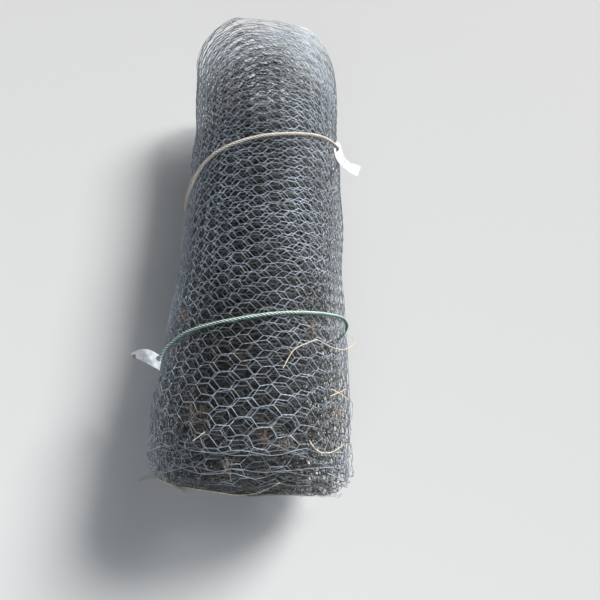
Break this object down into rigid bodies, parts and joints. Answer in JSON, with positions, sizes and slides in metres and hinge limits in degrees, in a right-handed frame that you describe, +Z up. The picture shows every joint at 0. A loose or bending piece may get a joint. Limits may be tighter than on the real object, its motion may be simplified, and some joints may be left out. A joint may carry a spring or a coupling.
{
  "type": "roll of hexagonal wire netting",
  "caption": "Loosely wound roll of galvanised hexagonal wire netting, lying on its side and tied with two ropes, each with a blank tag.",
  "frame": {"origin": "on the floor, under the middle of the whole part's box", "axes": "+Y along the roll's axis towards its far end, +Z up, +X to the right as seen from the near end"},
  "size_m": [0.4221, 0.9664, 0.2725],
  "materials": {
    "galvanised_wire": "weathered zinc",
    "tan_rope": "matt",
    "green_rope": "matt",
    "white_tag": "matt"
  },
  "bodies": {
    "root": {"netting_roll": "galvanised_wire", "tie_rope_rear": "tan_rope", "tie_rope_front": "green_rope", "tag_rear": "white_tag", "tag_front": "white_tag"}
  },
  "joints": []
}
